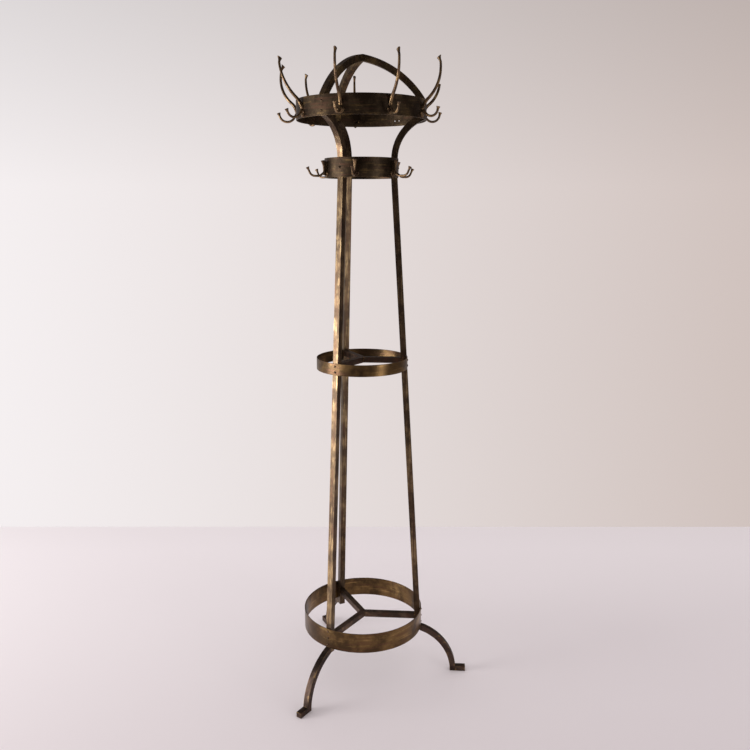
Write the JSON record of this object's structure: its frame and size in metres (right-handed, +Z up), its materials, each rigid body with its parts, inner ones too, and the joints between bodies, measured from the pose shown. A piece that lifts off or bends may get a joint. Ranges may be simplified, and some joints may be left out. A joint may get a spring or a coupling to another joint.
{
  "type": "coat rack",
  "caption": "Free-standing coat rack of square bars and flat rings on three curved feet, with an arched top and cast hooks on its two upper rings.",
  "frame": {"origin": "middle of the rack's bounding box, on the floor between its three feet", "axes": "+Z up, -Y towards the front, midway between the two front feet; the third foot points to +Y"},
  "size_m": [0.6174, 0.6099, 2],
  "materials": {
    "leg": "aged, streaked brown patina with worn bright faces",
    "foot": "dark brown patina",
    "arch": "aged brown-gold patina",
    "brace": "dark patina",
    "ring": "aged dark band, brass showing in patches and at the edges",
    "hook": "cast brass, dark in the hollows and worn on the prongs",
    "screw": "aged brass"
  },
  "bodies": {
    "root": {"leg_front_left": "leg", "leg_front_right": "leg", "leg_back": "leg", "foot_front_left": "foot", "foot_front_right": "foot", "foot_back": "foot", "arch_front_left": "arch", "arch_front_right": "arch", "arch_back": "arch", "base_brace_front_left": "brace", "base_brace_front_right": "brace", "base_brace_back": "brace", "middle_brace_front_left": "brace", "middle_brace_front_right": "brace", "middle_brace_back": "brace", "base_ring": "ring", "middle_ring": "ring", "lower_hook_ring": "ring", "upper_hook_ring": "ring", "upper_hook_1": "hook", "upper_hook_2": "hook", "upper_hook_3": "hook", "upper_hook_4": "hook", "upper_hook_5": "hook", "upper_hook_6": "hook", "upper_hook_7": "hook", "upper_hook_8": "hook", "lower_hook_1": "hook", "lower_hook_2": "hook", "lower_hook_3": "hook", "lower_hook_4": "hook", "lower_hook_5": "hook", "lower_hook_6": "hook", "base_ring_screws": "screw", "middle_ring_screws": "screw", "lower_ring_screws": "screw", "upper_ring_screws": "screw", "upper_hook_screws": "screw", "lower_hook_screws": "screw"}
  },
  "joints": []
}
